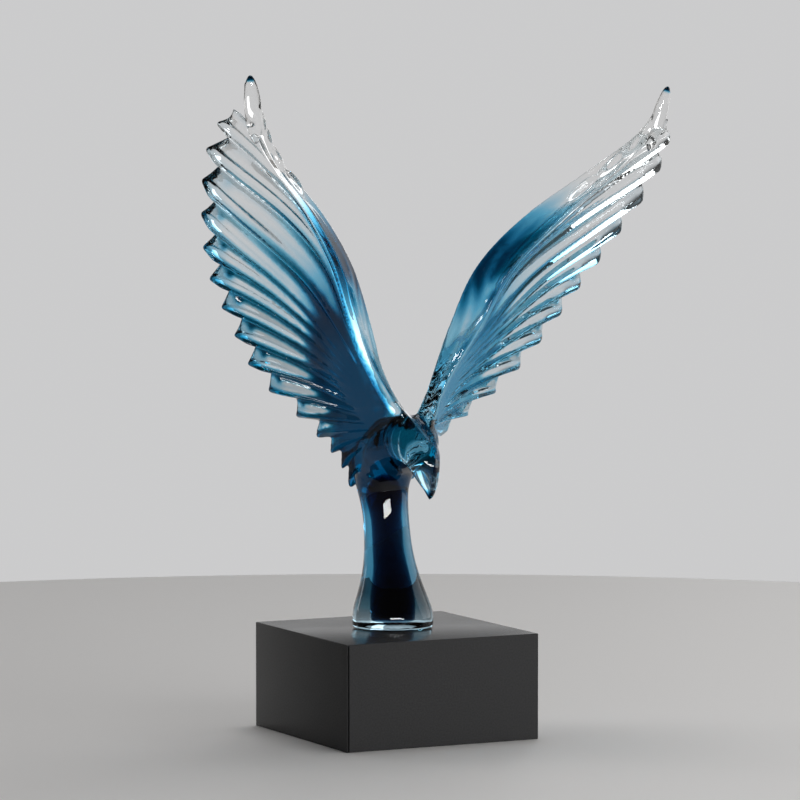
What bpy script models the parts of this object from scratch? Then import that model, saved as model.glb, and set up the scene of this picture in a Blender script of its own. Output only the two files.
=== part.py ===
"""An eagle with raised wings, cast in one piece of clear resin, on a square plinth.

Metres, +Z up. The origin is the middle of the plinth's underside, the bird faces -Y,
and its left wing is the one at +X.
"""
import math

import bmesh
import bpy
from mathutils import Matrix, Vector

MM = 0.001

PLINTH_SIDE = 140 * MM
PLINTH_HEIGHT = 70 * MM
PLINTH_EDGE = 0.5 * MM

# The wing's leading edge runs from the brow over the shoulder to the tip, between two lines.
# The trailing edge runs up through the feathers' tips. (out, back, up) in millimetres.
INNER_EDGE = [(2, -38, 193), (2, -22, 206), (15, -18.6, 233), (27.5, -20, 272), (44, -24, 311),
              (72, -36, 345), (111.5, -56, 378), (136, -75, 402), (148, -87, 427)]
FRONT_RIDGE = [(7, -42, 190), (12, -31, 205), (25, -27, 235), (45, -34.5, 272), (63, -44, 311),
               (92, -60, 346), (125, -73, 378), (142, -85, 402), (152.5, -90, 427)]
TRAILING_EDGE = [(25, 17, 167), (36, 19, 184), (57, 20, 205), (94, 16, 236), (119, 5, 271),
                 (140, -5, 306), (155.5, -28, 346), (166, -58, 385), (162, -79, 412)]
SHOULDER = 1 / 8
LOWEST_LEVEL = 0.16
HIGHEST_LEVEL = 1.06

# The thick leading edge. Its section's corners: (out, behind the ridge) in millimetres.
ARM_SHOULDER = (7, 2.2)
ARM_REAR = (13, 12.5)
ARM_TIP_SHARE = 0.3

# The long feathers, as one plate with a ridge along each feather on both faces.
FEATHERS = 15
ROOT_SPREAD = 0.2
ROOT_DROP = 0.5
FEATHER_HUG = 2.0
TOP_HUG = 14.0
RIDGE_INSET = 3 * MM
ROOT_INSET_SHARE = 0.05
HOLLOW_SHARE = 0.04
PLATE_ROOT = 10 * MM
PLATE_TIP = 3.5 * MM
RELIEF_SHARE = 0.2
BACK_RELIEF = 0.7
ROUND_TIP = 0.1

# The last feather stands alone at the wing's tip, as a narrow leaf: (out, back, up) in millimetres.
CREST_FOOT = (142, -80.5, 389)
CREST_TIP = (151, -88.5, 433)
CREST_HALF_WIDTH = 5.6
CREST_HALF_DEPTH = 2.8

# The bird banks a little to its left, so the wings are tipped together.
WING_BANK = math.radians(1.5)
BANK_HEIGHT = 250 * MM

# The trunk, from the foot up: (back, up, half width, half depth) in millimetres.
TRUNK = [(4, 70.3, 26.2, 26.2), (4, 71.3, 27, 27), (4, 78, 27, 27), (4.6, 84, 25.9, 25.9),
         (5.6, 92, 23.2, 23.2), (7, 101, 20.3, 20.3), (9, 112, 17.6, 17.6),
         (11.5, 125, 15.9, 15.9), (14.5, 142, 15.4, 15.4), (17.5, 154, 16.2, 16.5),
         (19.5, 163, 17.8, 18), (17, 171, 20, 19), (10, 178, 22.5, 25), (3, 186, 24, 29),
         (-2, 195, 23.5, 30), (-6, 203, 20, 26), (-10, 209, 14, 19), (-12, 212.5, 6, 9)]

# The neck and the bowed head: (out, back, up, half width, half depth) in millimetres.
HEAD = [(0, 2, 192, 18, 15), (0, -12, 196, 18.5, 16), (0.5, -22, 195.5, 18, 15.5),
        (1.2, -30, 190.5, 14.5, 12.5), (2, -35, 185.5, 12, 11.8), (2.6, -37.5, 180.5, 10, 11.4),
        (3.1, -39.3, 175.5, 8.2, 10), (3.7, -40.6, 170.5, 6.4, 8), (4.3, -41.2, 165.6, 4.2, 5.6),
        (4.9, -40.4, 161, 2, 3), (5, -39, 158.5, 0.5, 0.8)]

# The short tail, folded down the back of the column.
TAIL_FEATHERS = 5
TAIL_FOOT = (0, 24, 202)
TAIL_LENGTH = 47
TAIL_LEAN = math.radians(17)
TAIL_FOOT_HALF = 5
TAIL_SPREAD = math.radians(14)
TAIL_HALF_WIDTH = 5.5
TAIL_HALF_DEPTH = 5

# How finely each shape is cut.
TRUNK_SIDES = 24
HEAD_SIDES = 16
ARM_STEPS = 16
FEATHER_CUTS = [0, 0.22, 0.5, 0.88]
FEATHER_ROWS = [0, 0.1, 0.22, 0.34, 0.46, 0.58, 0.69, 0.79, 0.87, 0.93, 0.975, 1]


def clear_scene():
    for item in list(bpy.data.objects):
        bpy.data.objects.remove(item, do_unlink=True)


def collection(name):
    made = bpy.data.collections.new(name)
    bpy.context.scene.collection.children.link(made)
    return made


def material(name, colour, roughness, transmission=0.0):
    made = bpy.data.materials.new(name)
    made.use_nodes = True
    shader = made.node_tree.nodes["Principled BSDF"]
    shader.inputs["Base Color"].default_value = (*colour, 1)
    shader.inputs["Roughness"].default_value = roughness
    shader.inputs["Metallic"].default_value = 0.0
    shader.inputs["Transmission Weight"].default_value = transmission
    return made


def clamp(x, low=0.0, high=1.0):
    return min(max(x, low), high)


def smoothstep(low, high, x):
    share = clamp((x - low) / (high - low))
    return share * share * (3 - 2 * share)


def mix(a, b, share):
    return a + (b - a) * share


def along_points(points, share):
    """A smooth line through the points, each a tuple of any length, at share 0 to 1."""
    last = len(points) - 1
    place = clamp(share) * last
    i = min(int(place), last - 1)
    t = place - i
    near = [points[max(i - 1, 0)], points[i], points[i + 1], points[min(i + 2, last)]]
    weights = (-t + 2 * t ** 2 - t ** 3, 2 - 5 * t ** 2 + 3 * t ** 3,
               t + 4 * t ** 2 - 3 * t ** 3, -t ** 2 + t ** 3)
    return [sum(w * p[k] for w, p in zip(weights, near)) / 2 for k in range(len(points[0]))]


def line(points, share):
    return Vector(along_points(points, share)) * MM


def tangent(points, share):
    step = 0.01
    ahead = line(points, min(share + step, 1))
    return (ahead - line(points, max(share - step, 0))).normalized()


def skin(name, columns, rows, place, into):
    """A grid of columns x rows, wrapped round to a closed skin by place(column, row)."""
    bm = bmesh.new()
    bmesh.ops.create_grid(bm, x_segments=columns, y_segments=rows, size=0.5)
    for vert in bm.verts:
        column = round((vert.co.x + 0.5) * columns) % columns
        vert.co = place(column, round((vert.co.y + 0.5) * rows))
    bmesh.ops.remove_doubles(bm, verts=bm.verts, dist=1e-6)
    ends = [edge for edge in bm.edges if edge.is_boundary]
    if ends:
        bmesh.ops.holes_fill(bm, edges=ends, sides=0)
    bmesh.ops.triangulate(bm, faces=bm.faces)
    bmesh.ops.recalc_face_normals(bm, faces=bm.faces)
    mesh = bpy.data.meshes.new(name)
    bm.to_mesh(mesh)
    bm.free()
    made = bpy.data.objects.new(name, mesh)
    into.objects.link(made)
    return made


def trunk(into):
    """The foot, the waisted column and the body, one round section above the other."""
    def place(column, row):
        back, up, half_width, half_depth = TRUNK[row]
        turn = 2 * math.pi * column / TRUNK_SIDES
        return Vector((half_width * math.cos(turn), back + half_depth * math.sin(turn), up)) * MM

    return skin("trunk", TRUNK_SIDES, len(TRUNK) - 1, place, into)


def head(into):
    """The neck that arches forward and the head that hangs from it to the beak's point."""
    steps = 2 * (len(HEAD) - 1)
    centres = [stop[:3] for stop in HEAD]

    def place(column, row):
        share = row / steps
        half_width, half_depth = along_points(HEAD, share)[3:]
        deep = tangent(centres, share).cross(Vector((1, 0, 0))).normalized()
        turn = 2 * math.pi * column / HEAD_SIDES
        sideways = Vector((half_width * math.cos(turn) * MM, 0, 0))
        return line(centres, share) + sideways + deep * half_depth * math.sin(turn) * MM

    return skin("head", HEAD_SIDES, steps, place, into)


def level(s):
    """Where the trailing edge stands level with the leading edge at share s."""
    return mix(LOWEST_LEVEL, HIGHEST_LEVEL, s)


def wing_axes(s):
    """(outward, forward) for the wing's front face, level with share s of the leading edge."""
    s = clamp(s, 0.03, 0.93)
    rise = tangent(FRONT_RIDGE, s)
    outward = line(TRAILING_EDGE, level(s)) - line(FRONT_RIDGE, s)
    outward = (outward - rise * outward.dot(rise)).normalized()
    return outward, outward.cross(rise).normalized()


def arm(into):
    """The thick leading edge: a section swept up the wing, with the ridge as its front corner."""
    def place(column, row):
        s = row / ARM_STEPS
        outward, forward = wing_axes(s)
        size = mix(1, ARM_TIP_SHARE, s ** 1.5) * smoothstep(-0.1, SHOULDER, s) * MM
        inner, ridge = line(INNER_EDGE, s), line(FRONT_RIDGE, s)
        shoulder = ridge + (outward * ARM_SHOULDER[0] - forward * ARM_SHOULDER[1]) * size
        rear = ridge + (outward * ARM_REAR[0] - forward * ARM_REAR[1]) * size
        swell = forward * (ridge - inner).length * 0.06
        section = [inner.lerp(ridge, 0.05), inner.lerp(ridge, 0.5) + swell, ridge, shoulder,
                   rear, inner.lerp(rear, 0.08)]
        return section[column]

    return skin("arm", 6, ARM_STEPS, place, into)


def wing_place(s, c):
    """The wing's front face, at share s up the wing and c out from the leading edge."""
    ridge, trailing = line(FRONT_RIDGE, max(s, SHOULDER)), line(TRAILING_EDGE, level(s))
    sunk = RIDGE_INSET * (1 - c) ** 3 + HOLLOW_SHARE * (trailing - ridge).length * 4 * c * (1 - c)
    return ridge.lerp(trailing, mix(ROOT_INSET_SHARE, 1, c)) - wing_axes(s)[1] * sunk


def feather_place(v, u):
    """(point, s) on the feather line at share v across the wing, u from its root to its tip."""
    high = max((v - level(SHOULDER)) / (1 - level(SHOULDER)), 0)
    end = (v - LOWEST_LEVEL) / (HIGHEST_LEVEL - LOWEST_LEVEL)
    start = SHOULDER - ROOT_DROP * max(SHOULDER - end, 0)
    s = mix(start, end, u)
    hug = FEATHER_HUG + TOP_HUG * max((v - 0.75) / 0.25, 0) ** 2
    return wing_place(s, mix(ROOT_SPREAD * (1 - high), 1, u ** hug)), s


def tip_shape(across):
    """How far a feather's end stands past the trailing edge, in feather widths."""
    return 0.45 * across - 1.1 * across ** 2


def feather_column(column):
    """(share across the wing, share across the feather) of the plate's column."""
    feather, cut = divmod(column, len(FEATHER_CUTS))
    if feather == FEATHERS:
        return 1.0, 1.0
    return (feather + FEATHER_CUTS[cut]) / FEATHERS, FEATHER_CUTS[cut] / FEATHER_CUTS[-1]


def plate(into):
    """The long feathers, front face and back face, from under the ridge to their tips."""
    columns = FEATHERS * len(FEATHER_CUTS)

    def place(column, row):
        front = column <= columns
        v, across = feather_column(column if front else 2 * columns + 1 - column)
        u = FEATHER_ROWS[row]
        at, s = feather_place(v, u)
        along = (at - feather_place(v, max(u - 0.02, 0))[0]).normalized()
        half = 0.5 / FEATHERS
        width = (feather_place(min(v + half, 1), u)[0] - feather_place(max(v - half, 0), u)[0]).length
        shown = smoothstep(0.1, mix(0.6, 0.3, smoothstep(0.4, 0.8, v)), u)
        relief = RELIEF_SHARE * width * math.sin(math.pi * across) * shown
        thick = mix(PLATE_ROOT, PLATE_TIP, u ** 0.6)
        round_off = math.sqrt(1 - max((u - 1 + ROUND_TIP) / ROUND_TIP, 0) ** 2)
        rise = relief if front else -thick - relief * BACK_RELIEF
        reach = tip_shape(across) * width * smoothstep(0.5, 1, u)
        return at + along * reach + wing_axes(s)[1] * rise * round_off * min(u / 0.1, 1)

    return skin("plate", 2 * columns + 2, len(FEATHER_ROWS) - 1, place, into)


def blade(foot, tip, side, half_width, half_depth, into):
    """One free feather: a long rounded leaf from foot to tip, in millimetres, widest along side."""
    length = Vector(tip) - Vector(foot)
    up = length.normalized()
    depth = up.cross(side).normalized()
    width = depth.cross(up)
    turn = Matrix((width, depth, up)).transposed().to_4x4()
    size = Matrix.Diagonal((half_width, half_depth, length.length / 2, 1))
    pose = Matrix.Scale(MM, 4) @ Matrix.Translation(Vector(foot) + length / 2) @ turn @ size
    bm = bmesh.new()
    bmesh.ops.create_uvsphere(bm, u_segments=10, v_segments=10, radius=1, matrix=pose)
    mesh = bpy.data.meshes.new("blade")
    bm.to_mesh(mesh)
    bm.free()
    made = bpy.data.objects.new("blade", mesh)
    into.objects.link(made)
    return made


def crest(into):
    return blade(CREST_FOOT, CREST_TIP, wing_axes(0.9)[0], CREST_HALF_WIDTH, CREST_HALF_DEPTH, into)


def tail_feather(place, into):
    """One tail feather: place runs from -1, the right-hand one, to 1."""
    turn = TAIL_SPREAD * place
    length = TAIL_LENGTH * math.cos(turn) ** 3
    foot = Vector(TAIL_FOOT) + Vector((TAIL_FOOT_HALF * place, 0, 0))
    hang = Vector((math.tan(turn), math.sin(TAIL_LEAN), -math.cos(TAIL_LEAN))) * length
    return blade(foot, foot + hang, Vector((1, 0, 0)), TAIL_HALF_WIDTH, TAIL_HALF_DEPTH, into)


def join(base, other):
    """The union of two closed shapes, kept in base."""
    union = base.modifiers.new("join", "BOOLEAN")
    union.operation = "UNION"
    union.solver = "EXACT"
    union.object = other
    graph = bpy.context.evaluated_depsgraph_get()
    mesh = bpy.data.meshes.new_from_object(base.evaluated_get(graph))
    base.modifiers.clear()
    base.data = mesh
    bpy.data.objects.remove(other, do_unlink=True)


def bank(item):
    """Tips a wing with the bird."""
    pivot = Matrix.Translation((0, 0, BANK_HEIGHT))
    item.data.transform(pivot @ Matrix.Rotation(WING_BANK, 4, "Y") @ pivot.inverted())


def mirrored(item, into):
    """The other wing."""
    mesh = item.data.copy()
    mesh.transform(Matrix.Scale(-1, 4, (1, 0, 0)))
    mesh.flip_normals()
    made = bpy.data.objects.new(item.name + "_right", mesh)
    into.objects.link(made)
    return made


def eagle(into):
    left_wing = plate(into)
    join(left_wing, arm(into))
    join(left_wing, crest(into))
    right_wing = mirrored(left_wing, into)
    bird = trunk(into)
    join(bird, head(into))
    for i in range(TAIL_FEATHERS):
        join(bird, tail_feather(2 * i / (TAIL_FEATHERS - 1) - 1, into))
    for wing in (left_wing, right_wing):
        bank(wing)
        join(bird, wing)
    bird.name = "eagle"
    bird.data.name = "eagle"
    bird.data.materials.clear()
    bird.data.materials.append(material("blue clear resin", (0.03, 0.25, 0.45), 0.05, 1.0))
    return bird


def plinth(into):
    """The square block that the bird stands on."""
    bm = bmesh.new()
    bmesh.ops.create_cube(bm, size=1)
    bmesh.ops.scale(bm, vec=(PLINTH_SIDE, PLINTH_SIDE, PLINTH_HEIGHT), verts=bm.verts)
    bmesh.ops.translate(bm, vec=(0, 0, PLINTH_HEIGHT / 2), verts=bm.verts)
    mesh = bpy.data.meshes.new("plinth")
    bm.to_mesh(mesh)
    bm.free()
    made = bpy.data.objects.new("plinth", mesh)
    into.objects.link(made)
    edge = made.modifiers.new("edge", "BEVEL")
    edge.width = PLINTH_EDGE
    edge.segments = 2
    mesh.materials.append(material("anthracite", (0.05, 0.05, 0.052), 0.5))
    return made


def main():
    clear_scene()
    parts = collection("eagle sculpture")
    plinth(parts)
    eagle(parts)


main()
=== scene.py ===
"""An eagle with raised wings, cast in one piece of clear dyed resin, on a square matt plinth.

Metres, +Z up. The bird faces -Y, and its left wing is the one at +X.
"""
import functools
import math

import bmesh
import bpy
from mathutils import Matrix, Vector, noise
from mathutils.kdtree import KDTree


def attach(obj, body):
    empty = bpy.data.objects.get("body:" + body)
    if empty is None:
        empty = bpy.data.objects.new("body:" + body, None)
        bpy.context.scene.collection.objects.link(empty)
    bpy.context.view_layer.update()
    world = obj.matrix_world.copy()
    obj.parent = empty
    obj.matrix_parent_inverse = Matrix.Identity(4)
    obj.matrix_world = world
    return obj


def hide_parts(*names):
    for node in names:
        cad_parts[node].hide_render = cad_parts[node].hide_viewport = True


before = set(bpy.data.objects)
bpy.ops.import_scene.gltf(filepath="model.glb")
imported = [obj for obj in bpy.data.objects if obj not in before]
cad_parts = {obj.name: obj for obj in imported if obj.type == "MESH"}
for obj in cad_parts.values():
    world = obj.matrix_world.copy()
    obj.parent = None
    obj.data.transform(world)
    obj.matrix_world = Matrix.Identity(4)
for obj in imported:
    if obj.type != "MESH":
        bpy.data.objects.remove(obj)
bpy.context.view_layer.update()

MM = 0.001

PLINTH_SIDE = 140 * MM
PLINTH_HEIGHT = 70 * MM
PLINTH_EDGE = 0.6 * MM
SEAM_INSET = 0.7 * MM
SEAM_WIDTH = 1.2 * MM
SEAM_DEPTH = 1.5 * MM

# The wing's leading edge runs from the brow over the shoulder to the tip, between two lines.
# The trailing edge runs up through the feathers' tips. (out, back, up) in millimetres.
INNER_EDGE = [(2, -38, 193), (2, -22, 206), (15, -18.6, 233), (27.5, -20, 272), (44, -24, 311),
              (72, -36, 345), (111.5, -56, 378), (136, -75, 402), (148, -87, 427)]
FRONT_RIDGE = [(7, -42, 190), (12, -31, 205), (25, -27, 235), (45, -34.5, 272), (63, -44, 311),
               (92, -60, 346), (125, -73, 378), (142, -85, 402), (152.5, -90, 427)]
TRAILING_EDGE = [(25, 17, 167), (36, 19, 184), (57, 20, 205), (94, 16, 236), (119, 5, 271),
                 (140, -5, 306), (155.5, -28, 346), (166, -58, 385), (162, -79, 412)]
SHOULDER = 1 / 8
LOWEST_LEVEL = 0.16
HIGHEST_LEVEL = 1.06

# The thick leading edge. Its section's corners: (out, behind the ridge) in millimetres.
ARM_SHOULDER = (7, 2.2)
ARM_REAR = (13, 12.5)
ARM_TIP_SHARE = 0.3
ARM_SWELL = 0.06
INNER_LEAD = 0.05
REAR_LEAD = 0.08

# Its flowing folds, and how high they stand at its root and further up, in shares of its width.
FOLDS = 11
FOLD_ROWS = 3.2
FOLD_SWAYS = 15
FOLD_DRIFT = 0.5
FOLD_CREASE = 2.2
FOLD_SEED = 3.7
ROOT_FOLD_RISE = 0.05
FOLD_RISE = 0.16

# The long feathers.
FEATHERS = 15
FEATHER_SHARE = 0.965
ROOT_SPREAD = 0.2
ROOT_DROP = 0.5
FEATHER_HUG = 2.0
TOP_HUG = 14.0
RIDGE_INSET = 3 * MM
ROOT_INSET_SHARE = 0.05
HOLLOW_SHARE = 0.04
PLATE_ROOT = 10 * MM
PLATE_TIP = 3.5 * MM
RELIEF_SHARE = 0.28
BACK_RELIEF = 0.4
RIM_PLACE = 0.17
BEAD_RISE = 0.16
BEAD_HOLLOW = 0.24
FINE_LINE = 0.6
LINE_DEPTH = 0.1
TIP_BEVEL = 9 * MM
TIP_MEETS = 0.55
TIP_BLUNT = 0.3

# The dye, from 0 for clear resin to 1 for the darkest. The left wing's is weaker than the right's. On
# the feathers, the crest's tip and the leading edge's folds it also carries painted shade, painted
# highlights and painted dark reflections.
LEFT_DYE = 0.62
ROOT_DYE = 0.84
TAIL_DYE = 0.8
RESIN_DENSITY = 5
DYE_STEPS = [(0.0, (0.98, 0.972, 0.965)), (0.2, (0.62, 0.8, 0.9)), (0.4, (0.14, 0.54, 0.8)),
             (0.6, (0.02, 0.22, 0.42)), (0.75, (0.002, 0.095, 0.22)), (0.9, (0, 0.022, 0.06)),
             (1.0, (0, 0.005, 0.018))]

# How far up each feather the deep blue reaches: (share across the wing, share along the feather).
BLUE_REACH = [(0, 1.15), (0.12, 1.02), (0.25, 0.86), (0.31, 0.74), (0.45, 0.67), (0.55, 0.62),
              (0.78, 0.47), (1, 0.34)]

# The last feather stands alone at the wing's tip, as a narrow leaf: (out, back, up) in millimetres.
CREST_FOOT = (142, -80.5, 389)
CREST_TIP = (151, -88.5, 433)
CREST_HALF_WIDTH = 5.6
CREST_HALF_DEPTH = 4.6
# Painted dark reflection: the crest's tip is dyed dark.
CREST_TIP_PAINTED_DARK = 1.6

# Short overlapping leaves along the leading edge below the tip.
LOBES = [0.7, 0.765, 0.83, 0.89]
LOBE_LENGTH = 25
LOBE_HALF_WIDTH = 4.2
LOBE_HALF_DEPTH = 3.2
LOBE_PLACE = 0.62
LOBE_SINK = 0.6
LOBE_LEAN = 0.08
LOBE_BELOW = 0.6

# Where the wings and the neck run together, in millimetres.
SADDLE = (2, -22, 203)
SADDLE_REACH = 30
BROW = (4, -31, 205)
BROW_REACH = 15

# The crown's ridge down the beak, and the folds round each cheek, in millimetres.
CULMEN = [(6.5, -44.5, 191), (4.6, -46.5, 188), (3.6, -48.5, 182), (3.2, -48.7, 175.4),
          (3.2, -47.6, 168.8), (3.4, -45, 162.6)]
HOOD_RIGHT = [(-17, -25.8, 228.3), (-10.2, -26.9, 217.6), (-6.1, -27.5, 213.6), (-2.8, -29.6, 210.3),
              (-0.3, -36.4, 204.1), (3.9, -39.6, 198.3), (6.5, -44.5, 191)]
HOOD_LEFT = [(18, -25.6, 217.2), (16, -27, 209), (13, -33, 202), (10.8, -37.8, 196), (6.5, -44.5, 191)]
HOOD_HOLLOW = [(4, -28, 210), (5, -34, 204), (6, -39, 197.5)]
CHEEK_MIDDLES = [(-6, -37, 197), (14, -35, 197)]
CHEEK_HEIGHT = 19
FACE_MIDDLE = 4
FOLD_WIDTHS = [19, 13.5, 8]
CHEEK_FOLD_RISE = 1.1
CHEEK_FOLD_HALF = 1.5
COLLAR_HOLLOW = 1.2
COLLAR_PLACE = 3.2
CULMEN_RISE = 1.2
HOOD_RISE = 1.1
CROWN_HOLLOW = 1.2

# The bird banks a little to its left, so the wings are tipped together.
WING_BANK = math.radians(1.5)
BANK_HEIGHT = 250 * MM

# How far the right wing's shoulder leads across and forward to the brow, below this height.
SHOULDER_SHIFT = 13 * MM
SHOULDER_LEAD = 4 * MM
SHIFT_TOP = 250
SHIFT_REACH = 60

# The trunk, from the foot up: (back, up, half width, half depth) in millimetres.
TRUNK = [(4, 70.3, 26.2, 26.2), (4, 71.3, 27, 27), (4, 78, 27, 27), (4.6, 84, 25.9, 25.9),
         (5.6, 92, 23.2, 23.2), (7, 101, 20.3, 20.3), (9, 112, 17.6, 17.6),
         (11.5, 125, 15.9, 15.9), (14.5, 142, 15.4, 15.4), (17.5, 154, 16.2, 16.5),
         (19.5, 163, 17.8, 18), (17, 171, 20, 19), (10, 178, 22.5, 25), (3, 186, 24, 29),
         (-2, 195, 23.5, 30), (-6, 203, 20, 26), (-10, 209, 14, 19), (-12, 212.5, 6, 9)]

# The dark core inside the column: (back, up, half width, half depth) in millimetres. Its density
# is in absorption per metre, and its outline wanders by a share of its width.
CORE_DENSITY = 420
CORE = [(4.2, 74.6, 8, 8), (4.2, 75, 11, 11), (4.8, 84, 11.5, 11.5), (6.2, 96, 10, 10),
        (8.5, 110, 8.4, 8.4), (12, 128, 7.6, 7.6), (15, 144, 8, 8), (17, 156, 9, 9),
        (18, 164, 8, 8), (17, 172, 5.5, 5.5), (15, 180, 0.8, 0.8)]
CORE_WANDER = 0.1
CORE_SIDES = 48
CORE_CUTS = 4

# The neck and the bowed head: (out, back, up, half width, half depth) in millimetres.
HEAD = [(0, 2, 192, 18, 15), (0, -12, 196, 18.5, 16), (0.5, -22, 195.5, 18, 15.5),
        (1.2, -30, 190.5, 14.5, 12.5), (2, -35, 185.5, 12, 11.8), (2.6, -37.5, 180.5, 10, 11.4),
        (3.1, -39.3, 175.5, 8.2, 10), (3.7, -40.6, 170.5, 6.4, 8), (4.3, -41.2, 165.6, 4.2, 5.6),
        (4.9, -40.4, 161, 2, 3), (5, -39, 158.5, 0.5, 0.8)]

# The short tail, folded down the back of the column.
TAIL_FEATHERS = 5
TAIL_FOOT = (0, 24, 202)
TAIL_LENGTH = 47
TAIL_LEAN = math.radians(17)
TAIL_FOOT_HALF = 5
TAIL_SPREAD = math.radians(14)
TAIL_HALF_WIDTH = 5.5
TAIL_HALF_DEPTH = 5

# How finely each shape is cut.
TRUNK_SIDES = 72
TRUNK_CUTS = 5
HEAD_SIDES = 72
HEAD_CUTS = 8
ARM_FACE_CUTS = 9
ARM_STEPS = 150
FEATHER_CUTS = [0, 0.04, 0.09, 0.13, 0.17, 0.21, 0.27, 0.34, 0.44, 0.54, 0.58, 0.62, 0.66, 0.72,
                0.8, 0.88, 0.95, 1]
FEATHER_STEPS = 128
TIP_STEPS = 28
TIP_PART = 0.12
BLADE_CUTS = 24

# The stage: soft lights as (name, place, (width, height), watts), the camera and the floor.
SOFTBOXES = [
    ("panel_low", (0.63, -1.36, 0.36), (1.5, 1.3), 15),
    ("panel_right", (2.17, -0.1, 0.9), (1.7, 1.8), 11),
    ("panel_top", (0.2, 0.5, 2.4), (1.6, 1.2), 20),
    ("window", (-0.65, -2.4, 0.58), (1.7, 0.24), 38),
    ("strip_right", (1.5, 1.8, 1.0), (0.5, 1.6), 3),
    ("strip_left", (-1.2, 2.2, 1.0), (0.4, 1.4), 3)]
LIT_MIDDLE = Vector((0, 0, 0.23))
CAMERA_PLACE = Vector((-1.38501, -2.77959, 0.45166))
CAMERA_AIM = Vector((0.002594, -0.001296, 0.2214))
CAMERA_LENS = 211.94
FLOOR_RADIUS = 0.95
FLOOR_SIDES = 96

# The shapes are melted into one skin of even cells, and its flat parts are thinned afterwards.
CELL = 0.62 * MM
MELT_ROUNDS = 8
CREASE_ROUNDS = 30
BROW_ROUNDS = 160
MOST_TRIANGLES = 190000
LAST_ROUNDS = 2
POCKET_CORNERS = 8
DYE_POINTS = 6
DYE_BLUR = 0.3 * MM


def clamp(x, low=0.0, high=1.0):
    return min(max(x, low), high)


def smoothstep(low, high, x):
    share = clamp((x - low) / (high - low))
    return share * share * (3 - 2 * share)


def mix(a, b, share):
    return a + (b - a) * share


def bell(x, middle, half_width):
    """A smooth hump: 1 at the middle, 0 a few half widths away."""
    return math.exp(-((x - middle) / half_width) ** 2)


def along_points(points, share):
    """A smooth line through the points, each a tuple of any length, at share 0 to 1."""
    last = len(points) - 1
    place = clamp(share) * last
    i = min(int(place), last - 1)
    t = place - i
    near = [points[max(i - 1, 0)], points[i], points[i + 1], points[min(i + 2, last)]]
    weights = (-t + 2 * t ** 2 - t ** 3, 2 - 5 * t ** 2 + 3 * t ** 3,
               t + 4 * t ** 2 - 3 * t ** 3, -t ** 2 + t ** 3)
    return [sum(w * p[k] for w, p in zip(weights, near)) / 2 for k in range(len(points[0]))]


def line(points, share):
    return Vector(along_points(points, share)) * MM


def tangent(points, share):
    step = 0.01
    ahead = line(points, min(share + step, 1))
    return (ahead - line(points, max(share - step, 0))).normalized()


def finished(name, bm):
    """A closed shape's mesh, its doubles merged and its faces outwards, as an object at the origin."""
    bmesh.ops.remove_doubles(bm, verts=bm.verts, dist=1e-6)
    ends = [edge for edge in bm.edges if edge.is_boundary]
    if ends:
        bmesh.ops.holes_fill(bm, edges=ends, sides=0)
    bmesh.ops.triangulate(bm, faces=[face for face in bm.faces if len(face.verts) > 4])
    bmesh.ops.recalc_face_normals(bm, faces=bm.faces)
    mesh = bpy.data.meshes.new(name)
    bm.to_mesh(mesh)
    bm.free()
    made = bpy.data.objects.new(name, mesh)
    bpy.context.scene.collection.objects.link(made)
    return made


def skin(name, columns, rows, place, dye):
    """A grid of columns x rows, wrapped to a closed skin by place(column, row) and dyed by dye."""
    bm = bmesh.new()
    bmesh.ops.create_grid(bm, x_segments=columns, y_segments=rows, size=0.5)
    held = bm.verts.layers.float.new("dye")
    for vert in bm.verts:
        column = round((vert.co.x + 0.5) * columns) % columns
        row = round((vert.co.y + 0.5) * rows)
        vert.co = place(column, row)
        vert[held] = dye(column, row)
    return finished(name, bm)


def upright(name, stops, sides, cuts, dye, wander=0.0):
    """A row of round sections one above the other: (back, up, half width, half depth)."""
    rows = (len(stops) - 1) * cuts

    def place(column, row):
        back, up, half_width, half_depth = along_points(stops, row / rows)
        turn = 2 * math.pi * column / sides
        drift = 1 + wander * noise.noise(Vector((math.cos(turn), math.sin(turn), up / 22)))
        across = Vector((half_width * math.cos(turn), half_depth * math.sin(turn), 0)) * drift
        return (across + Vector((0, back, up))) * MM

    return skin(name, sides, rows, place, lambda column, row: dye(place(column, row) / MM))


def trunk_dye(at):
    return mix(mix(0.2, 0.5, smoothstep(77, 90, at.z)), 0.93, smoothstep(140, 168, at.z))


def head_dye(at):
    face = mix(0.95, 0.24, smoothstep(-16, -30, at.y))
    brow = 0.45 * bell(at.x, 9, 5) * smoothstep(172, 184, at.z)
    return mix(face + brow, 1, smoothstep(167, 161, at.z))


def arched(name, dye):
    """The neck that arches forward and the head that hangs from it."""
    rows = (len(HEAD) - 1) * HEAD_CUTS
    centres = [stop[:3] for stop in HEAD]

    def place(column, row):
        share = row / rows
        half_width, half_depth = along_points(HEAD, share)[3:]
        deep = tangent(centres, share).cross(Vector((1, 0, 0))).normalized()
        turn = 2 * math.pi * column / HEAD_SIDES
        sideways = Vector((half_width * math.cos(turn), 0, 0))
        return line(centres, share) + (sideways + deep * half_depth * math.sin(turn)) * MM

    return skin(name, HEAD_SIDES, rows, place, lambda column, row: dye(place(column, row) / MM))


def level(s):
    """Where the trailing edge stands level with the leading edge at share s."""
    return mix(LOWEST_LEVEL, HIGHEST_LEVEL, s)


@functools.cache
def wing_axes(s):
    """(outward, forward) for the wing's front face, level with share s of the leading edge."""
    s = clamp(s, 0.03, 0.93)
    rise = tangent(FRONT_RIDGE, s)
    outward = line(TRAILING_EDGE, level(s)) - line(FRONT_RIDGE, s)
    outward = (outward - rise * outward.dot(rise)).normalized()
    return outward, outward.cross(rise).normalized()


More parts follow.
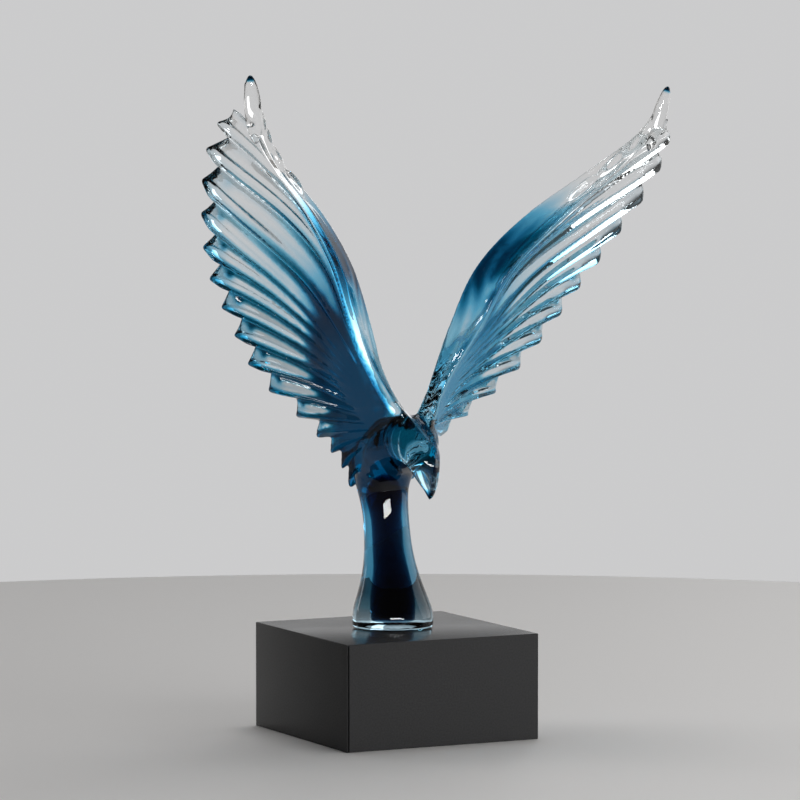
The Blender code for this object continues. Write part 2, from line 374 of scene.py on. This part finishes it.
def arm():
    """The thick leading edge: a section swept up the wing, with the ridge as its front corner."""
    corners = 6
    columns = corners * ARM_FACE_CUTS

    def section(s):
        outward, forward = wing_axes(s)
        size = mix(1, ARM_TIP_SHARE, s ** 1.5) * smoothstep(-0.1, SHOULDER, s) * MM
        inner, ridge = line(INNER_EDGE, s), line(FRONT_RIDGE, s)
        shoulder = ridge + (outward * ARM_SHOULDER[0] - forward * ARM_SHOULDER[1]) * size
        rear = ridge + (outward * ARM_REAR[0] - forward * ARM_REAR[1]) * size
        swell = forward * (ridge - inner).length * ARM_SWELL
        return [inner.lerp(ridge, INNER_LEAD), inner.lerp(ridge, 0.5) + swell, ridge, shoulder,
                rear, inner.lerp(rear, REAR_LEAD)], forward

    def fold(s, across):
        """Flowing folds, drawn out along the wing, with a crease between one and the next."""
        drift = across * FOLD_ROWS + FOLD_DRIFT * math.sin(FOLD_SWAYS * s)
        crease = abs(noise.noise(Vector((drift, s * FOLDS, FOLD_SEED))))
        ends = smoothstep(0.06, 0.2, s) * smoothstep(0, 0.3, 1 - s) * math.sin(math.pi * across) ** 0.5
        return clamp(1 - FOLD_CREASE * crease) * ends

    def place(column, row):
        s = row / ARM_STEPS
        stops, forward = section(s)
        face, cut = divmod(column, ARM_FACE_CUTS)
        share = cut / ARM_FACE_CUTS
        at = stops[face].lerp(stops[(face + 1) % corners], share)
        if face > 1:
            return at
        wide = (stops[2] - stops[0]).length
        rise = mix(ROOT_FOLD_RISE, FOLD_RISE, smoothstep(0.1, 0.4, s))
        return at + forward * wide * rise * fold(s, (face + share) / 2)

    def dye(column, row):
        s = row / ARM_STEPS
        face, cut = divmod(column, ARM_FACE_CUTS)
        blue = mix(0.36, 0.72, smoothstep(0.36, 0.5, s)) * (1 - smoothstep(0.52, 0.74, s))
        if face > 1:
            return blue * mix(0.5, 1, smoothstep(0.3, 0.5, s))
        # Painted shade: the dye is darker in the creases between the folds and paler on their crests.
        return clamp(blue * (1.8 - 1.55 * fold(s, (face + cut / ARM_FACE_CUTS) / 2)))

    return skin("arm", columns, ARM_STEPS, place, dye)


def wing_place(s, c):
    """The wing's front face, at share s up the wing and c out from the leading edge."""
    ridge, trailing = line(FRONT_RIDGE, max(s, SHOULDER)), line(TRAILING_EDGE, level(s))
    sunk = RIDGE_INSET * (1 - c) ** 3 + HOLLOW_SHARE * (trailing - ridge).length * 4 * c * (1 - c)
    return ridge.lerp(trailing, mix(ROOT_INSET_SHARE, 1, c)) - wing_axes(s)[1] * sunk


@functools.cache
def feather_place(v, u):
    """(point, s) on the feather line at share v across the wing, u from its root to its tip."""
    high = max((v - level(SHOULDER)) / (1 - level(SHOULDER)), 0)
    end = (v - LOWEST_LEVEL) / (HIGHEST_LEVEL - LOWEST_LEVEL)
    start = SHOULDER - ROOT_DROP * max(SHOULDER - end, 0)
    s = mix(start, end, u)
    hug = FEATHER_HUG + TOP_HUG * max((v - 0.75) / 0.25, 0) ** 2
    return wing_place(s, mix(ROOT_SPREAD * (1 - high), 1, u ** hug)), s


def tip_shape(across):
    """How far a feather's end stands past the trailing edge, in feather widths."""
    return 0.12 - 0.12 * clamp(1 - across / 0.12) ** 2 - 0.72 * across ** 0.85


def feather_column(column):
    """(share across the wing, share across the feather) of the plate's column."""
    feather, cut = divmod(column, len(FEATHER_CUTS))
    if feather == FEATHERS:
        return 1.0, 1.0
    across = FEATHER_CUTS[cut]
    return (feather + FEATHER_SHARE * across) / FEATHERS, across


def feather_row(row):
    """Share along the feather, with the rows closer together in the tip."""
    shaft = FEATHER_STEPS - TIP_STEPS
    if row <= shaft:
        return (1 - TIP_PART) * row / shaft
    return 1 - TIP_PART * (FEATHER_STEPS - row) / TIP_STEPS


def feather_profile(across):
    """A feather's height across: a beaded rim over its lower edge, then a long straight slope."""
    rim = math.sin(math.pi / 2 * clamp(across / RIM_PLACE))
    slope = clamp((across - RIM_PLACE) / (0.9 - RIM_PLACE))
    hollow = BEAD_HOLLOW * bell(across, RIM_PLACE + 0.13, 0.05)
    bead = BEAD_RISE * bell(across, RIM_PLACE, 0.06) - hollow
    groove = LINE_DEPTH * bell(across, FINE_LINE, 0.035)
    return (rim * (1 - 0.7 * slope) + bead - groove) * (1 - smoothstep(0.88, 1, across))


def relief_shown(v, u):
    """How far the feathers' relief has risen at share u along them."""
    high = smoothstep(0.4, 0.8, v)
    return smoothstep(mix(0.28, 0.14, high), mix(0.55, 0.42, high), u)


def between(stops, x):
    """The value at x on a broken line through the stops."""
    for (x0, y0), (x1, y1) in zip(stops, stops[1:]):
        if x <= x1:
            return mix(y0, y1, clamp((x - x0) / (x1 - x0)))
    return stops[-1][1]


def plate_dye_and_painted_light(v, u, across, front):
    """Deep blue dye at the root, which runs out in the valleys between the feathers' pale slopes. The
    dark valleys are partly painted shade and the pale slopes partly painted highlight; the beads get a
    painted highlight line, the fine grooves a painted shade line and the feathers' ends painted dark
    reflections.
    """
    past = u - between(BLUE_REACH, v) + 0.03 * noise.noise(Vector((v * 14, u * 3, 0)))
    high = smoothstep(0.62, 0.95, v)
    # Painted dark reflection: darker dye near the feathers' ends.
    tip = 0.3 * smoothstep(0.89, 0.96, u) * (1 - high)
    # Partly real dye and partly painted shade: the deep blue held in the valleys between the feathers.
    valley_dye_and_shade = mix(ROOT_DYE, 1, smoothstep(-0.16, 0, past)) - 0.3 * smoothstep(0.2, 0.6, past)
    beyond = smoothstep(0.04, 0.2, past)
    if not front:
        clear = smoothstep(-0.06, mix(0.05, 0.3, high), past)
        return max(mix(ROOT_DYE, 0.16, clear) * (1 - smoothstep(0.1, 0.45, past)), tip)
    # Painted dark reflection: a dark patch on each feather's end face.
    painted_dark_end = 0.9 * bell(across, 0.8, 0.12) * bell(u, 0.955, 0.014) * (1 - high)
    wide = clamp(past / 0.12, 0, 1)
    # Partly real dye and partly painted highlight: paler dye down each feather's long slope.
    slope = smoothstep(0.54 - 0.24 * wide, 0.6 - 0.2 * wide, across) * smoothstep(-0.03, 0.04, past)
    slope *= 1 - smoothstep(0.72 + 0.1 * wide, 0.8 + 0.1 * wide, across)
    smoke = 0.42 * high * bell(past, 0.12, 0.14)
    faded = 1 - 0.85 * high * smoothstep(0.15, 0.45, past)
    # Painted highlight: a pale line of weaker dye along each bead.
    crossed = valley_dye_and_shade * (1 - 0.95 * slope) * (1 - 0.25 * beyond * bell(across, RIM_PLACE, 0.03))
    # Painted shade: a dark line of extra dye along the fine groove.
    crossed += 0.42 * beyond * valley_dye_and_shade * bell(across, FINE_LINE, 0.03)
    return clamp(max(crossed * faded, smoke, tip) + painted_dark_end)


def plate():
    """The long feathers, front face and back face, from under the ridge to their tips."""
    columns = FEATHERS * len(FEATHER_CUTS)
    spread = [(feather_place(v, 1)[0] - feather_place(v, 0.5)[0]).length * 2
              for v in (feather_column(column)[0] for column in range(columns + 1))]

    def on_face(column):
        """(the column on its own face, whether that is the front face)."""
        return (column, True) if column <= columns else (2 * columns + 1 - column, False)

    def place(column, row):
        column, front = on_face(column)
        v, across = feather_column(column)
        u = feather_row(min(row, FEATHER_STEPS))
        at, s = feather_place(v, u)
        along = (at - feather_place(v, max(u - 0.02, 0))[0]).normalized()
        half = 0.5 / FEATHERS
        width = (feather_place(min(v + half, 1), u)[0] - feather_place(max(v - half, 0), u)[0]).length
        relief = RELIEF_SHARE * width * feather_profile(across) * relief_shown(v, u)
        thick = mix(PLATE_ROOT, PLATE_TIP, u ** 0.6)
        bevel = max(1 - (1 - u) * spread[column] / TIP_BEVEL, 0)
        blunt = 0 if row > FEATHER_STEPS else TIP_BLUNT
        if front:
            rise, blend, meets = relief, bevel ** 1.6, TIP_MEETS - blunt
        else:
            rise, blend, meets = -thick - relief * BACK_RELIEF, bevel ** 2, TIP_MEETS + blunt
        reach = tip_shape(across) * width * smoothstep(0.5, 1, u)
        lifted = mix(rise, -meets * thick, blend)
        return at + along * reach + wing_axes(s)[1] * lifted * min(u / 0.1, 1)

    def dye(column, row):
        column, front = on_face(column)
        v, across = feather_column(column)
        return plate_dye_and_painted_light(v, feather_row(min(row, FEATHER_STEPS)), across, front)

    return skin("plate", 2 * columns + 2, FEATHER_STEPS + 1, place, dye)


def blade(foot, tip, side, half_width, half_depth, dye=0.0, tip_painted_dark=0.0):
    """One free feather: a long rounded leaf from foot to tip, in millimetres, widest along side."""
    length = Vector(tip) - Vector(foot)
    up = length.normalized()
    depth = up.cross(side).normalized()
    width = depth.cross(up)
    turn = Matrix((width, depth, up)).transposed().to_4x4()
    size = Matrix.Diagonal((half_width, half_depth, length.length / 2, 1))
    pose = Matrix.Scale(MM, 4) @ Matrix.Translation(Vector(foot) + length / 2) @ turn @ size
    bm = bmesh.new()
    bmesh.ops.create_uvsphere(bm, u_segments=BLADE_CUTS, v_segments=BLADE_CUTS, radius=1, matrix=pose)
    held = bm.verts.layers.float.new("dye")
    for vert in bm.verts:
        along = (vert.co / MM - Vector(foot)).dot(up) / length.length
        # The tip can be dyed darker, as a painted dark reflection.
        vert[held] = mix(dye, max(dye, tip_painted_dark), smoothstep(0.9, 0.96, along))
    return finished("blade", bm)


def crest():
    return blade(CREST_FOOT, CREST_TIP, wing_axes(0.9)[0], CREST_HALF_WIDTH, CREST_HALF_DEPTH,
                 tip_painted_dark=CREST_TIP_PAINTED_DARK)


def tail_feather(place):
    """One tail feather: place runs from -1, the right-hand one, to 1."""
    turn = TAIL_SPREAD * place
    length = TAIL_LENGTH * math.cos(turn) ** 3
    foot = Vector(TAIL_FOOT) + Vector((TAIL_FOOT_HALF * place, 0, 0))
    hang = Vector((math.tan(turn), math.sin(TAIL_LEAN), -math.cos(TAIL_LEAN))) * length
    return blade(foot, foot + hang, Vector((1, 0, 0)), TAIL_HALF_WIDTH, TAIL_HALF_DEPTH,
                 TAIL_DYE)


def changed_by(item, kind, **values):
    """Applies one modifier to a shape."""
    made = item.modifiers.new(kind.lower(), kind)
    for key, value in values.items():
        setattr(made, key, value)
    graph = bpy.context.evaluated_depsgraph_get()
    mesh = bpy.data.meshes.new_from_object(item.evaluated_get(graph))
    item.modifiers.clear()
    item.data = mesh


def gathered(name, shapes):
    """One object that holds all the shapes, still overlapping."""
    bm = bmesh.new()
    for item in shapes:
        bm.from_mesh(item.data)
    mesh = bpy.data.meshes.new(name)
    bm.to_mesh(mesh)
    bm.free()
    for item in shapes:
        bpy.data.objects.remove(item, do_unlink=True)
    made = bpy.data.objects.new(name, mesh)
    bpy.context.scene.collection.objects.link(made)
    return made


def bank(item):
    """Tips a wing with the bird."""
    pivot = Matrix.Translation((0, 0, BANK_HEIGHT))
    item.data.transform(pivot @ Matrix.Rotation(WING_BANK, 4, "Y") @ pivot.inverted())


def mirrored(item):
    """The other wing."""
    mesh = item.data.copy()
    mesh.transform(Matrix.Scale(-1, 4, (1, 0, 0)))
    mesh.flip_normals()
    made = bpy.data.objects.new(item.name + "_right", mesh)
    bpy.context.scene.collection.objects.link(made)
    return made


def lobe(s):
    """One of the short overlapping leaves on the leading edge near the wing's tip."""
    outward, forward = wing_axes(s)
    middle = line(INNER_EDGE, s).lerp(line(FRONT_RIDGE, s), LOBE_PLACE) - forward * LOBE_SINK * MM
    rise = (tangent(FRONT_RIDGE, s) - outward * LOBE_LEAN).normalized() * LOBE_LENGTH
    foot, tip = middle - rise * LOBE_BELOW * MM, middle + rise * (1 - LOBE_BELOW) * MM
    return blade(foot / MM, tip / MM, outward, LOBE_HALF_WIDTH, LOBE_HALF_DEPTH)


def turned(item):
    """Leads the right wing's shoulder across to the brow, because the head is turned to its left."""
    for vert in item.data.vertices:
        at = vert.co / MM
        down = clamp((SHIFT_TOP - at.z) / SHIFT_REACH, 0, 1) ** 1.25
        ahead = smoothstep(-4, -24, at.y)
        vert.co.x += SHOULDER_SHIFT * down * ahead
        vert.co.y -= SHOULDER_LEAD * bell(at.z, SADDLE[2], 9) * ahead


def smoothed(item, rounds, middle=None, reach=0):
    """Evens the skin out, all over or only within reach of a point, in millimetres."""
    bm = bmesh.new()
    bm.from_mesh(item.data)
    near = [vert for vert in bm.verts
            if middle is None or (vert.co / MM - Vector(middle)).length < reach]
    for _ in range(rounds):
        bmesh.ops.smooth_vert(bm, verts=near, factor=0.5, use_axis_x=True, use_axis_y=True,
                              use_axis_z=True)
    bm.to_mesh(item.data)
    bm.free()


def pockets_cleared(item):
    """Clears the tiny closed pockets that melting leaves inside."""
    bm = bmesh.new()
    bm.from_mesh(item.data)
    inside = set()
    for vert in bm.verts:
        around = [edge.other_vert(vert) for edge in vert.link_edges]
        if len(around) == 3 and all(len(other.link_edges) == 3 for other in around):
            shell, ahead = {vert}, [vert]
            while ahead and len(shell) <= POCKET_CORNERS:
                for edge in ahead.pop().link_edges:
                    fresh = set(edge.verts) - shell
                    shell |= fresh
                    ahead += fresh
            if len(shell) <= POCKET_CORNERS:
                inside |= shell
    bmesh.ops.delete(bm, geom=list(inside), context="VERTS")
    bm.to_mesh(item.data)
    bm.free()


def to_line(point, stops):
    """Distance from a point to a line through the stops, in millimetres."""
    return min((point - Vector(a)).length if share <= 0 else
               (point - Vector(b)).length if share >= 1 else
               (point - Vector(a).lerp(Vector(b), share)).length
               for a, b in zip(stops, stops[1:])
               for share in [(point - Vector(a)).dot(Vector(b) - Vector(a))
                             / (Vector(b) - Vector(a)).length_squared])


def face_relief(at):
    """Height of the hood, the beak's ridge and the cheek's folds at a point, in millimetres."""
    hood = min(to_line(at, HOOD_RIGHT), to_line(at, HOOD_LEFT))
    rise = CULMEN_RISE * bell(to_line(at, CULMEN), 0, 2)
    rise += HOOD_RISE * bell(hood, 0, 2.2)
    rise -= CROWN_HOLLOW * bell(to_line(at, HOOD_HOLLOW), 0, 4.5)
    behind = smoothstep(-43, -36, at.y) * smoothstep(180, 190, at.z) * smoothstep(215, 207, at.z)
    below = smoothstep(0.5, 4, hood)
    for middle in CHEEK_MIDDLES:
        away = at - Vector(middle)
        if abs(away.x) > abs(at.x - FACE_MIDDLE):
            continue
        beside = math.hypot(away.x, away.y)
        for width in FOLD_WIDTHS:
            off = (math.hypot(away.z / CHEEK_HEIGHT, beside / width) - 1) * width
            rise += behind * below * CHEEK_FOLD_RISE * bell(off, 0, CHEEK_FOLD_HALF)
        outside = math.hypot(away.z / CHEEK_HEIGHT, beside / FOLD_WIDTHS[0]) * FOLD_WIDTHS[0]
        rise -= behind * below * COLLAR_HOLLOW * bell(outside, FOLD_WIDTHS[0] + COLLAR_PLACE, 2)
    return rise


def sculpted(item):
    """Raises the folds of the face and collar on the melted shape."""
    moves = []
    for vert in item.data.vertices:
        at = vert.co / MM
        if at.z > 155 and at.z < 222 and at.y < -8 and abs(at.x - 3) < 30:
            moves.append((vert, vert.normal.copy() * face_relief(at) * MM))
    for vert, move in moves:
        vert.co += move


def dye_of(item):
    """Each point of a shape with its dye, to look up later."""
    values = item.data.attributes["dye"].data
    return [(vert.co.copy(), values[i].value) for i, vert in enumerate(item.data.vertices)]


def dyed(item, known):
    """Gives each point of the casting the dye of the shapes' points nearest to it."""
    tree = KDTree(len(known))
    for i, (point, _) in enumerate(known):
        tree.insert(point, i)
    tree.balance()
    values = []
    for vert in item.data.vertices:
        near = tree.find_n(vert.co, DYE_POINTS)
        shares = [1 / (distance + DYE_BLUR) for _, _, distance in near]
        total = sum(share * known[i][1] for share, (_, i, _) in zip(shares, near))
        values.append(total / sum(shares))
    held = item.data.attributes.new("dye", "FLOAT", "POINT")
    held.data.foreach_set("value", values)


def thinned_dye(item, share):
    """Weakens a shape's dye."""
    for value in item.data.attributes["dye"].data:
        value.value *= share


def eagle():
    leading = [arm(), crest()] + [lobe(s) for s in LOBES]
    left_plate = plate()
    right_wing = [mirrored(item) for item in [left_plate] + leading]
    thinned_dye(left_plate, LEFT_DYE)
    for item in right_wing:
        turned(item)
    for item in [left_plate] + leading + right_wing:
        bank(item)
    tail = [tail_feather(2 * i / (TAIL_FEATHERS - 1) - 1) for i in range(TAIL_FEATHERS)]
    trunk = upright("trunk", TRUNK, TRUNK_SIDES, TRUNK_CUTS, trunk_dye)
    head = arched("head", head_dye)
    bird = gathered("eagle_casting", [trunk, head, left_plate] + leading + right_wing + tail)
    known = dye_of(bird)
    changed_by(bird, "REMESH", mode="VOXEL", voxel_size=CELL)
    pockets_cleared(bird)
    smoothed(bird, MELT_ROUNDS)
    smoothed(bird, CREASE_ROUNDS, SADDLE, SADDLE_REACH)
    smoothed(bird, BROW_ROUNDS, BROW, BROW_REACH)
    sculpted(bird)
    bird.data.calc_loop_triangles()
    thinned = MOST_TRIANGLES / len(bird.data.loop_triangles)
    changed_by(bird, "DECIMATE", ratio=min(thinned, 1), use_collapse_triangulate=True)
    smoothed(bird, LAST_ROUNDS)
    dyed(bird, known)
    return bird


def full_dye(at):
    return 1.0


def column_core():
    """The darkest dye, which hangs inside the column."""
    return upright("column_core", CORE, CORE_SIDES, CORE_CUTS, full_dye, CORE_WANDER)


def soften(item, angle):
    """Smooth shading, with the edges sharper than the angle kept crisp."""
    item.data.shade_smooth()
    item.data.set_sharp_from_angle(angle=angle)


def node_material(name):
    made = bpy.data.materials.new(name)
    made.use_nodes = True
    tree = made.node_tree
    return made, tree, tree.nodes["Principled BSDF"]


def add(tree, kind, **values):
    node = tree.nodes.new(kind)
    for key, value in values.items():
        if key in node.inputs:
            node.inputs[key].default_value = value
        else:
            setattr(node, key, value)
    return node


def object_coordinates(tree):
    return add(tree, "ShaderNodeTexCoord").outputs["Object"]


def ramp(tree, factor, stops):
    node = add(tree, "ShaderNodeValToRGB")
    while len(node.color_ramp.elements) < len(stops):
        node.color_ramp.elements.new(0.5)
    for element, (place, colour) in zip(node.color_ramp.elements, stops):
        element.position = place
        element.color = (*colour, 1)
    tree.links.new(factor, node.inputs["Fac"])
    return node.outputs["Color"]


def grain(tree, coordinates, scale, detail):
    node = add(tree, "ShaderNodeTexNoise", Scale=scale, Detail=detail)
    tree.links.new(coordinates, node.inputs["Vector"])
    return node.outputs["Fac"]


def bumped(tree, shader, height, strength, distance):
    node = add(tree, "ShaderNodeBump", Strength=strength, Distance=distance)
    tree.links.new(height, node.inputs["Height"])
    tree.links.new(node.outputs["Normal"], shader.inputs["Normal"])


def rough_between(tree, shader, factor, low, high):
    node = add(tree, "ShaderNodeMapRange")
    node.inputs["To Min"].default_value = low
    node.inputs["To Max"].default_value = high
    tree.links.new(factor, node.inputs["Value"])
    tree.links.new(node.outputs["Result"], shader.inputs["Roughness"])


def filled(tree, colour, density):
    """Fills a shape with an even dye that takes light away, by density per metre."""
    absorb = add(tree, "ShaderNodeVolumeAbsorption")
    absorb.inputs["Color"].default_value = (*colour, 1)
    absorb.inputs["Density"].default_value = density
    tree.links.new(absorb.outputs["Volume"], tree.nodes["Material Output"].inputs["Volume"])


def dyed_resin():
    """Clear casting resin, its blue taken from the dye stored in the mesh, which on the feathers, the
    crest and the leading edge's folds also holds painted shade, painted highlights and painted dark
    reflections.
    """
    made, tree, shader = node_material("clear dyed resin")
    where = object_coordinates(tree)
    dye = add(tree, "ShaderNodeAttribute", attribute_name="dye").outputs["Fac"]
    tree.links.new(ramp(tree, dye, DYE_STEPS), shader.inputs["Base Color"])
    shader.inputs["Transmission Weight"].default_value = 1
    shader.inputs["IOR"].default_value = 1.36
    shader.inputs["Specular IOR Level"].default_value = 0.2
    rough_between(tree, shader, grain(tree, where, 60, 3), 0.0, 0.03)
    bumped(tree, shader, grain(tree, where, 90, 2), 0.06, 0.6 * MM)
    filled(tree, (0.6, 0.85, 0.92), RESIN_DENSITY)
    return made


def core_dye():
    """The dark dye inside the clear skin: it only takes light away, and doesn't bend it."""
    made, tree, shader = node_material("dark dye inside the column")
    where = object_coordinates(tree)
    mist = grain(tree, where, 45, 2)
    tree.links.new(ramp(tree, mist, [(0.3, (0.8, 0.93, 0.97)), (0.7, (0.95, 0.98, 1))]),
                   shader.inputs["Base Color"])
    shader.inputs["Transmission Weight"].default_value = 1
    shader.inputs["IOR"].default_value = 1
    rough_between(tree, shader, grain(tree, where, 70, 2), 0, 0.04)
    bumped(tree, shader, mist, 0.05, 0.5 * MM)
    filled(tree, (0, 0.26, 0.42), CORE_DENSITY)
    return made


def anthracite():
    """Matt anthracite lacquer with a fine, even orange peel."""
    made, tree, shader = node_material("matt anthracite lacquer")
    where = object_coordinates(tree)
    fine = grain(tree, where, 900, 4)
    tree.links.new(ramp(tree, fine, [(0.3, (0.044, 0.044, 0.045)), (0.7, (0.056, 0.056, 0.057))]),
                   shader.inputs["Base Color"])
    shader.inputs["IOR"].default_value = 1.16
    rough_between(tree, shader, grain(tree, where, 30, 3), 0.16, 0.22)
    bumped(tree, shader, grain(tree, where, 1400, 3), 0.03, 0.1 * MM)
    return made


def plinth():
    """The square block, with a thin seam down one upright edge."""
    bm = bmesh.new()
    bmesh.ops.create_cube(bm, size=1)
    bmesh.ops.scale(bm, vec=(PLINTH_SIDE, PLINTH_SIDE, PLINTH_HEIGHT), verts=bm.verts)
    bmesh.ops.translate(bm, vec=(0, 0, PLINTH_HEIGHT / 2), verts=bm.verts)
    bm.normal_update()
    bmesh.ops.bevel(bm, geom=list(bm.edges), offset=PLINTH_EDGE, segments=3, profile=0.5,
                    affect="EDGES", material=-1)
    side = PLINTH_SIDE / 2
    cuts = [((SEAM_INSET - side, 0, 0), (1, 0, 0)), ((SEAM_INSET + SEAM_WIDTH - side, 0, 0), (1, 0, 0)),
            ((0, 0, SEAM_INSET), (0, 0, 1)), ((0, 0, PLINTH_HEIGHT - SEAM_INSET), (0, 0, 1))]
    for point, normal in cuts:
        everything = list(bm.verts) + list(bm.edges) + list(bm.faces)
        bmesh.ops.bisect_plane(bm, geom=everything, plane_co=point, plane_no=normal)
    bm.normal_update()
    strip = [face for face in bm.faces if face.normal.y < -0.99
             and SEAM_INSET < face.calc_center_median().z < PLINTH_HEIGHT - SEAM_INSET
             and 0 < face.calc_center_median().x + side - SEAM_INSET < SEAM_WIDTH]
    bmesh.ops.inset_region(bm, faces=strip, thickness=0.1 * MM, depth=-SEAM_DEPTH)
    return finished("plinth_block", bm)


def stage_floor():
    bm = bmesh.new()
    bmesh.ops.create_circle(bm, cap_ends=True, segments=FLOOR_SIDES, radius=FLOOR_RADIUS)
    floor = finished("floor", bm)
    made, _, shader = node_material("pale floor")
    shader.inputs["Base Color"].default_value = (0.78, 0.77, 0.76, 1)
    shader.inputs["Roughness"].default_value = 0.6
    floor.data.materials.append(made)


def studio_world():
    """A pale wall behind the bird that darkens overhead and behind the camera."""
    world = bpy.data.worlds.new("studio")
    bpy.context.scene.world = world
    world.use_nodes = True
    tree = world.node_tree
    background = tree.nodes["Background"]
    where = add(tree, "ShaderNodeTexCoord").outputs["Generated"]
    facing = add(tree, "ShaderNodeVectorMath", operation="DOT_PRODUCT")
    tree.links.new(where, facing.inputs[0])
    facing.inputs[1].default_value = (0.447, 0.894, 0)
    share = add(tree, "ShaderNodeMapRange")
    share.inputs["From Min"].default_value = -1
    tree.links.new(facing.outputs["Value"], share.inputs["Value"])
    round_about = ramp(tree, share.outputs["Result"], [
        (0.0, (0.13, 0.13, 0.13)), (0.45, (0.16, 0.15, 0.145)), (0.75, (0.32, 0.31, 0.3)),
        (0.93, (0.58, 0.58, 0.585)), (1.0, (0.6, 0.6, 0.605))])
    upward = add(tree, "ShaderNodeSeparateXYZ")
    tree.links.new(where, upward.inputs["Vector"])
    overhead = ramp(tree, upward.outputs["Z"], [(0.12, (1, 1, 1)), (0.4, (0.35, 0.35, 0.35))])
    both = add(tree, "ShaderNodeMix", data_type="RGBA", blend_type="MULTIPLY")
    both.inputs[0].default_value = 1
    tree.links.new(round_about, both.inputs[6])
    tree.links.new(overhead, both.inputs[7])
    tree.links.new(both.outputs[2], background.inputs["Color"])


def softbox(name, location, size, power):
    """A soft rectangular light, (width, height) in size, that faces the middle of the bird."""
    lamp = bpy.data.lights.new(name, "AREA")
    lamp.shape = "RECTANGLE"
    lamp.size, lamp.size_y = size
    lamp.energy = power
    made = bpy.data.objects.new(name, lamp)
    bpy.context.scene.collection.objects.link(made)
    made.location = location
    made.rotation_euler = (LIT_MIDDLE - Vector(location)).to_track_quat("-Z", "Y").to_euler()
    made.visible_camera = False
    return made


def camera():
    data = bpy.data.cameras.new("camera")
    data.lens = CAMERA_LENS
    made = bpy.data.objects.new("camera", data)
    bpy.context.scene.collection.objects.link(made)
    made.location = CAMERA_PLACE
    made.rotation_euler = (CAMERA_AIM - CAMERA_PLACE).to_track_quat("-Z", "Y").to_euler()
    bpy.context.scene.camera = made
    bpy.context.scene.view_settings.view_transform = "Standard"


bird = eagle()
bird.data.materials.clear()
bird.data.materials.append(dyed_resin())
bird.data.shade_smooth()
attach(bird, "root")
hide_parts("eagle")

inside = column_core()
inside.data.materials.append(core_dye())
soften(inside, math.radians(60))
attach(inside, "root")
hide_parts("eagle")

block = plinth()
block.data.materials.append(anthracite())
soften(block, math.radians(40))
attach(block, "root")
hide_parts("plinth")

stage_floor()
studio_world()
lamps = {name: softbox(name, place, size, power) for name, place, size, power in SOFTBOXES}
lamps["panel_low"].visible_glossy = False
lamps["panel_low"].visible_transmission = False
lamps["window"].visible_diffuse = False
camera()
